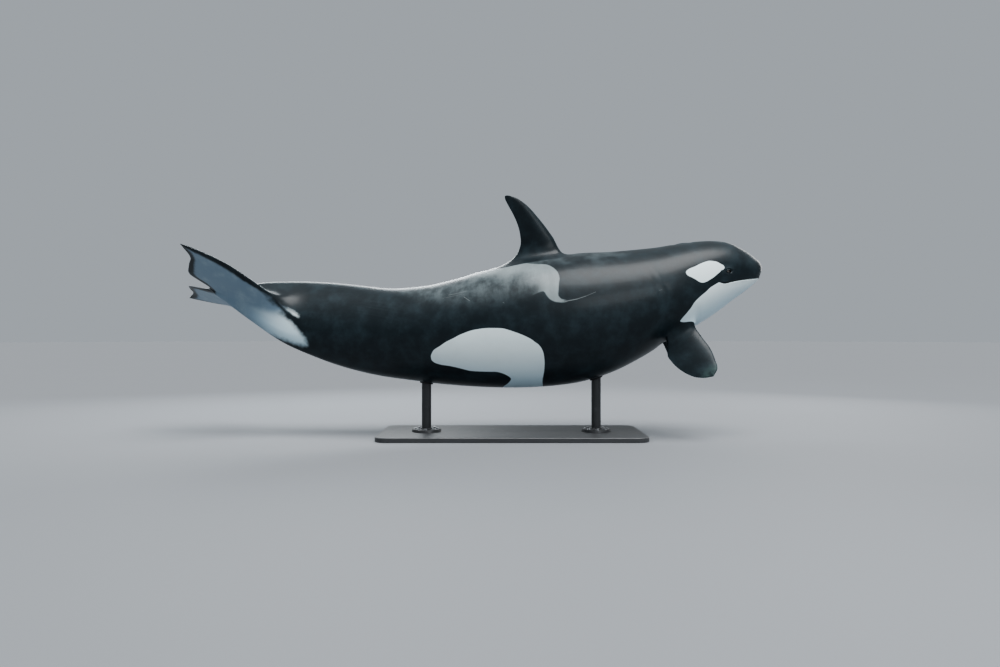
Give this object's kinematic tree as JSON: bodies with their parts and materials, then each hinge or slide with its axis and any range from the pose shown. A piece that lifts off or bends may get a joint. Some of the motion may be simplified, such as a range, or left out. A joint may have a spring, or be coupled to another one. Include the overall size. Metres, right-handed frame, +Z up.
{
  "type": "orca",
  "caption": "Still life-size orca in a gentle swimming arch, flukes raised, held over a flat base by two rods.",
  "frame": {"origin": "on the underside of the stand's base, under the middle of the body", "axes": "+X towards the head, -Y out of the animal's right flank, +Z up"},
  "size_m": [5.2271, 1.0792, 2.0978],
  "materials": {
    "skin_black": "smooth wet-looking black skin",
    "skin_white": "smooth white skin",
    "skin_grey": "smooth grey saddle",
    "eye_dark": "wet dark brown eye",
    "stand_steel": "satin dark grey paint"
  },
  "bodies": {
    "root": {"head": "skin_black", "chest": "skin_black", "torso": "skin_black", "loin": "skin_black", "tail_stock": "skin_black", "dorsal_fin": "skin_black", "flipper_right": "skin_black", "flipper_left": "skin_black", "fluke_right": "skin_black", "fluke_left": "skin_black", "lower_jaw": "skin_white", "eye_patch_right": "skin_white", "eye_patch_left": "skin_white", "belly_band": "skin_white", "flank_patch_right": "skin_white", "flank_patch_left": "skin_white", "saddle_patch": "skin_grey", "eye_right": "eye_dark", "eye_left": "eye_dark", "stand_base": "stand_steel", "stand_flange_front": "stand_steel", "stand_flange_rear": "stand_steel", "stand_rod_front": "stand_steel", "stand_rod_rear": "stand_steel"}
  },
  "joints": []
}
